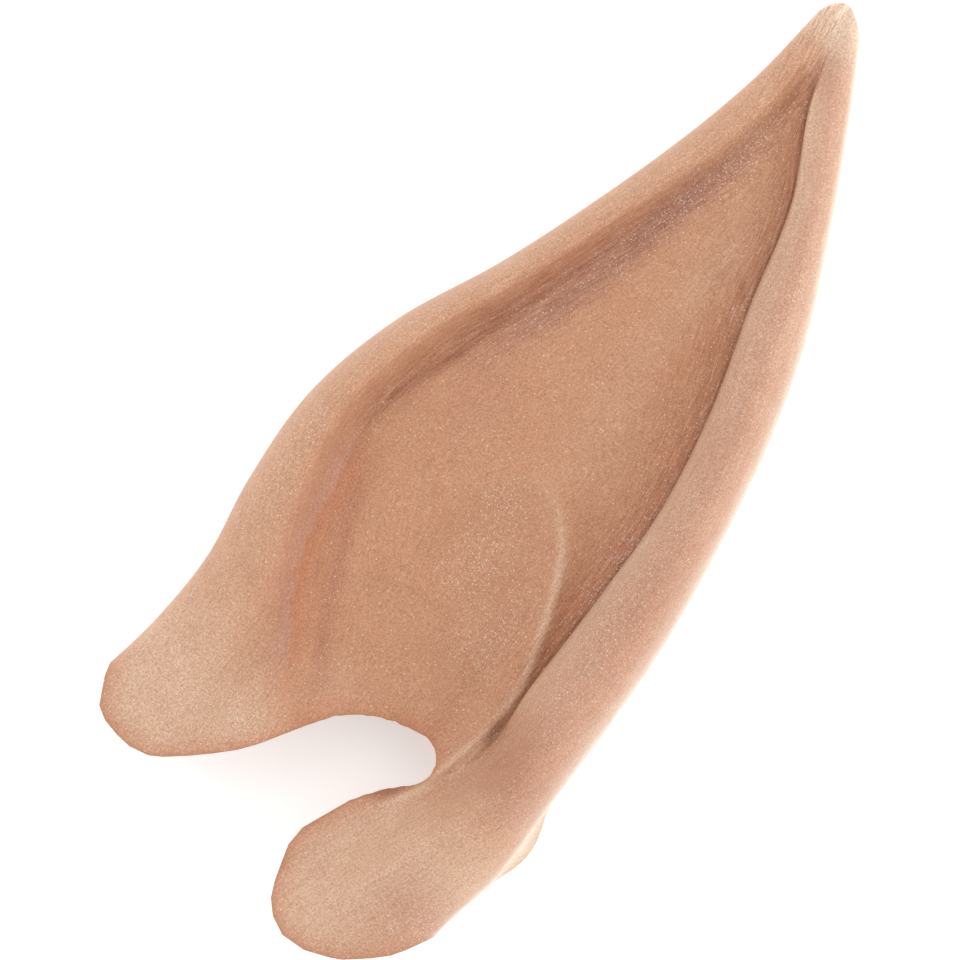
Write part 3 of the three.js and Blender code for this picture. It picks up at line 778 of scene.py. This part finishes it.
def skin_coats(x, y, z, s, lines, from_cut):
    """Coats of colour over the face, each with how much of it shows at every place. Many are painted
    shade and highlights.
    """
    along = y / EAR_LENGTH + 0.5
    front = (s.front_crease - x) / (s.front_crease - s.front_edge)
    rear = (x - s.lip_line) / (s.rear_edge - s.lip_line)
    from_crease = np.where(bowl_side(x, z, s), s.rear_crease - x, OUT_OF_REACH)
    lip_length = smoothstep(along, *LIP_STARTS) * (1 - smoothstep(along, *LIP_ENDS))
    followed = followed_lines(x, s, lines, from_cut, along, lip_length)
    rear_pale = REAR_PALE * smoothstep(along, *REAR_PALE_ALONG)
    lip_shade = lerp(LIP_SHADE_START, LIP_SHADE_END, smoothstep(along, *LIP_SHADE_ALONG))
    lip_shadow_end = LIP_OVERHANG + LIP_SHADOW_FADE
    broad = [
        (ROSE, smoothstep(rear, *ROSE_ACROSS) * (along > ROSE_STARTS)),
        # The rims get paler outwards: partly airbrushing, partly painted light on their outer slopes.
        (PALE, FRONT_PALE * smoothstep(front, *FRONT_PALE_ACROSS)),
        (PALE, rear_pale * smoothstep(rear, *REAR_PALE_ACROSS)),
        (PALE, 1 - smoothstep(along, *LOBE_PALE_ALONG)),
        # Painted shade in the bowl beside the rear lip.
        (LIP_SHADE_BROWN, lip_shade * lip_length * (1 - smoothstep(from_crease, *LIP_SHADE_REACH))),
    ]
    shadows = [
        (UNDERCUT_SHADE, TURNED_SKIN_SHADOW * turned_skin(lines)),
        (DARK_LINE, LIP_SHADOW * lip_length * (1 - smoothstep(from_crease, LIP_OVERHANG, lip_shadow_end))),
        (DARK_LINE, DIMPLE_SHADOW * dimple(x, y)),
    ]
    ends = [
        (LIGHT_LINE, TIP_LIGHT * smoothstep(along, *TIP_LIGHT_ALONG)),
        # Painted highlight along the rear rim's outer edge.
        (CREAM, REAR_RIM_HIGHLIGHT * smoothstep(rear, *REAR_RIM_HIGHLIGHT_ACROSS) * smoothstep(along, *REAR_RIM_HIGHLIGHT_ALONG)),
    ]
    # Painted glow of light through the thin flap.
    flap = [(FLAP_GLOW_TONE, FLAP_GLOW * smoothstep(x - s.rear_edge, *FLAP_GLOW_FROM_FOLD))]
    patches = [(colour, amount * hump(x - middle_x, reach_x) * hump(y - middle_y, reach_y))
               for colour, middle_x, middle_y, reach_x, reach_y, amount in PATCHES]
    # The line coats paint shade in the creases and highlights on the ridges, the rear lip and the flap's
    # fold.
    return (broad + coats_along(LINE_COATS, followed) + shadows + coats_along(LIP_HIGHLIGHTS, followed)
            + ends + coats_along(FLAP_FOLD_HIGHLIGHT, followed) + flap + patches)


def talc_at(x, y, lines):
    """Density of the talc specks, from 0 to 1."""
    distance, _, _, strength = lines["second_valley"]
    density = TALC_EVERYWHERE + VALLEY_TALC * strength * hump(distance, VALLEY_TALC_REACH)
    for middle_x, middle_y, reach_x, reach_y, amount in TALC_PATCHES:
        density = density + amount * hump(x - middle_x, reach_x) * hump(y - middle_y, reach_y)
    return np.clip(density, 0, 1)


def strokes_at(x, y, z, s, lines):
    """Strength of the brush strokes."""
    beside_lip = smoothstep(y, *LIP_STROKES_ALONG) * hump(s.rear_crease - x, LIP_STROKES_REACH)
    strength = STROKES_EVERYWHERE + LIP_STROKES * beside_lip * bowl_side(x, z, s)
    for name in STROKED_GROOVES:
        distance, _, _, groove = lines[name]
        strength = strength + GROOVE_STROKES * groove * hump(distance, GROOVE_STROKES_REACH)
    return strength


def paint(ear):
    """Keeps the skin's colour with its painted shade and highlights, its marks and its brush direction
    on the mesh's corners.
    """
    mesh = ear.data
    places = np.empty(len(mesh.vertices) * 3)
    mesh.vertices.foreach_get("co", places)
    x, y, z = np.hsplit(places.reshape(-1, 3) / MM, 3)
    s = section_at(y[:, 0] / EAR_LENGTH + 0.5)
    lines = fine_lines(x, y)
    face = face_height(x - SEAM, s)
    outer = smoothstep(z, face - PAINT_GONE, face - PAINT_HOLDS)
    from_cut = near(snips(trim_line(TRIM_STEPS_PER_ROW)), x, y)[0]
    tone = linear(TAN)
    for colour, amount in skin_coats(x, y, z, s, lines, from_cut):
        tone = lerp(tone, linear(colour), amount)
    tone = lerp(linear(PALE), tone, outer)
    talc = talc_at(x, y, lines) * outer
    strokes = strokes_at(x, y, z, s, lines) * outer
    across = (x - s.front_crease) / (s.rear_crease - s.front_crease)
    nearer_crease = lerp(s.front_crease, s.rear_crease, smoothstep(across, *CREASE_CHANGE))
    opaque = np.ones_like(x)
    layers = (
        ("tone", "FLOAT_COLOR", "color", [tone, opaque]),
        ("marks", "FLOAT_COLOR", "color", [talc, strokes, hump(from_cut, CUT_RIM), opaque]),
        ("flow", "FLOAT_VECTOR", "vector", [x - nearer_crease, y, z]),
    )
    for name, kind, field, values in layers:
        layer = mesh.attributes.new(name, kind, "POINT")
        layer.data.foreach_set(field, np.hstack(values).ravel())


def node(tree, kind, inputs, **settings):
    """New shader node, each of its inputs set to a value or linked to another node."""
    made = tree.nodes.new("ShaderNode" + kind)
    for name, value in settings.items():
        setattr(made, name, value)
    for socket, value in inputs.items():
        if isinstance(value, bpy.types.NodeSocket):
            tree.links.new(value, made.inputs[socket])
        else:
            made.inputs[socket].default_value = value
    return made


def math_node(tree, operation, *values):
    return node(tree, "Math", dict(enumerate(values)), operation=operation).outputs[0]


def scaled(tree, vector, factors):
    return node(tree, "VectorMath", {0: vector, 1: factors}, operation="MULTIPLY").outputs[0]


def noise(tree, vector, scale, detail):
    return node(tree, "TexNoise", {"Vector": vector, "Scale": scale, "Detail": detail}).outputs["Fac"]


def swing(tree, noise_value, amount):
    """Noise as a factor around 1."""
    centred = math_node(tree, "SUBTRACT", noise_value, 0.5)
    return math_node(tree, "MULTIPLY_ADD", centred, amount, 1)


def mix(tree, amount, first, second):
    made = node(tree, "Mix", {0: amount, 6: first, 7: second}, data_type="RGBA")
    return made.outputs[2]


def specks(tree, place, scale, radius, density):
    """Small round specks, one in some of the cells."""
    cells = node(tree, "TexVoronoi", {"Vector": place, "Scale": scale})
    chance = node(tree, "SeparateColor", {"Color": cells.outputs["Color"]}).outputs[0]
    is_near = math_node(tree, "LESS_THAN", cells.outputs["Distance"], radius)
    is_chosen = math_node(tree, "LESS_THAN", chance, density)
    return math_node(tree, "MULTIPLY", is_near, is_chosen)


def latex_material():
    """Airbrushed latex: mottled, grainy, brushed along the rear lip and dusted with talc."""
    material = bpy.data.materials.new("latex")
    material.use_nodes = True
    tree = material.node_tree
    shader = tree.nodes["Principled BSDF"]
    place = scaled(tree, node(tree, "TexCoord", {}).outputs["Object"], (1 / MM, 1 / MM, 1 / MM))
    tone = node(tree, "Attribute", {}, attribute_name="tone").outputs["Color"]
    marks = node(tree, "Attribute", {}, attribute_name="marks").outputs["Color"]
    talc, stroked, cut_rim = node(tree, "SeparateColor", {"Color": marks}).outputs[:3]
    flow = scaled(tree, node(tree, "Attribute", {}, attribute_name="flow").outputs["Vector"], STROKE_SCALE)

    grain = noise(tree, place, GRAIN_SCALE, GRAIN_DETAIL)
    mottle = noise(tree, place, MOTTLE_SCALE, MOTTLE_DETAIL)
    strokes = noise(tree, flow, 1, GRAIN_DETAIL)
    shade = swing(tree, grain, GRAIN_CONTRAST)
    shade = math_node(tree, "MULTIPLY", shade, swing(tree, mottle, MOTTLE_CONTRAST))
    stroke_contrast = math_node(tree, "MULTIPLY", stroked, STROKE_CONTRAST)
    shade = math_node(tree, "MULTIPLY", shade, swing(tree, strokes, stroke_contrast))
    channels = [math_node(tree, "POWER", shade, power) for power in GRAIN_CHANNELS]
    base = scaled(tree, tone, node(tree, "CombineXYZ", dict(enumerate(channels))).outputs[0])
    rim = math_node(tree, "MULTIPLY", cut_rim, CUT_RIM_STRENGTH)
    base = mix(tree, rim, base, (*linear(CUT_COLOUR), 1))
    pits = specks(tree, place, PIT_CELLS, PIT_RADIUS, PIT_DENSITY)
    base = mix(tree, math_node(tree, "MULTIPLY", pits, PIT_STRENGTH), base, (*linear(DARK_LINE), 1))
    fine_talc = specks(tree, place, FINE_TALC_CELLS, TALC_RADIUS, talc)
    coarse_talc = specks(tree, place, COARSE_TALC_CELLS, TALC_RADIUS, talc)
    dust = math_node(tree, "MAXIMUM", fine_talc, coarse_talc)
    base = mix(tree, math_node(tree, "MULTIPLY", dust, TALC_STRENGTH), base, (*linear(TALC), 1))
    tree.links.new(base, shader.inputs["Base Color"])

    edge = node(tree, "Bevel", {"Radius": EDGE_SOFTNESS * MM}, samples=EDGE_SAMPLES).outputs[0]
    height = math_node(tree, "MULTIPLY_ADD", strokes, stroked, grain)
    bump = node(tree, "Bump", {"Height": height, "Distance": GRAIN_DEPTH * MM, "Normal": edge})
    tree.links.new(bump.outputs[0], shader.inputs["Normal"])
    roughness = math_node(tree, "MULTIPLY_ADD", grain, ROUGHNESS_SWING, ROUGHNESS - ROUGHNESS_SWING / 2)
    tree.links.new(roughness, shader.inputs["Roughness"])
    shader.inputs["Subsurface Weight"].default_value = SKIN_GLOW
    shader.inputs["Subsurface Radius"].default_value = SKIN_GLOW_COLOURS
    shader.inputs["Subsurface Scale"].default_value = SKIN_GLOW_DEPTH * MM
    shader.inputs["Specular IOR Level"].default_value = SPECULAR_LEVEL
    shader.inputs["Sheen Weight"].default_value = SHEEN
    shader.inputs["Sheen Roughness"].default_value = SHEEN_ROUGHNESS
    return material


def make_floor():
    half = FLOOR_SIZE / 2
    corners = np.array([(-half, -half, 0), (half, -half, 0), (half, half, 0), (-half, half, 0)])
    floor = mesh_object("floor", corners, [(0, 1, 2, 3)])
    material = bpy.data.materials.new("pale_floor")
    material.use_nodes = True
    shader = material.node_tree.nodes["Principled BSDF"]
    shader.inputs["Base Color"].default_value = FLOOR_COLOUR
    shader.inputs["Roughness"].default_value = FLOOR_ROUGHNESS
    shader.inputs["Emission Color"].default_value = WHITE
    shader.inputs["Emission Strength"].default_value = FLOOR_GLOW
    floor.data.materials.append(material)


def make_camera():
    data = bpy.data.cameras.new("camera")
    data.lens = LENS
    data.sensor_width = SENSOR
    camera = bpy.data.objects.new("camera", data)
    bpy.context.scene.collection.objects.link(camera)
    distance = VIEW_WIDTH * LENS / SENSOR
    camera.location = (VIEW_MIDDLE + Vector((0, 0, distance))) * MM
    camera.rotation_euler = (0, 0, VIEW_TURN)
    bpy.context.scene.camera = camera


def make_softbox(name, azimuth, elevation, distance, size, power):
    """Square area light that looks at the ear. Its azimuth counts from the photo's right side."""
    data = bpy.data.lights.new(name, "AREA")
    data.size = size * MM
    data.energy = power
    light = bpy.data.objects.new(name, data)
    bpy.context.scene.collection.objects.link(light)
    turn = VIEW_TURN + math.radians(azimuth)
    lift = math.radians(elevation)
    away = Vector((math.cos(lift) * math.cos(turn), math.cos(lift) * math.sin(turn), math.sin(lift)))
    light.location = away * distance * MM
    light.rotation_euler = away.to_track_quat("Z", "Y").to_euler()


def make_world():
    world = bpy.data.worlds.new("studio")
    world.use_nodes = True
    background = world.node_tree.nodes["Background"]
    background.inputs["Color"].default_value = WHITE
    background.inputs["Strength"].default_value = DAYLIGHT
    bpy.context.scene.world = world


make_floor()
make_camera()
make_world()
for softbox in SOFTBOXES:
    make_softbox(*softbox)
bpy.context.scene.view_settings.view_transform = "Standard"

ear = make_ear()
paint(ear)
ear.data.materials.clear()
ear.data.materials.append(latex_material())
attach(ear, "root")
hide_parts("ear_shell")
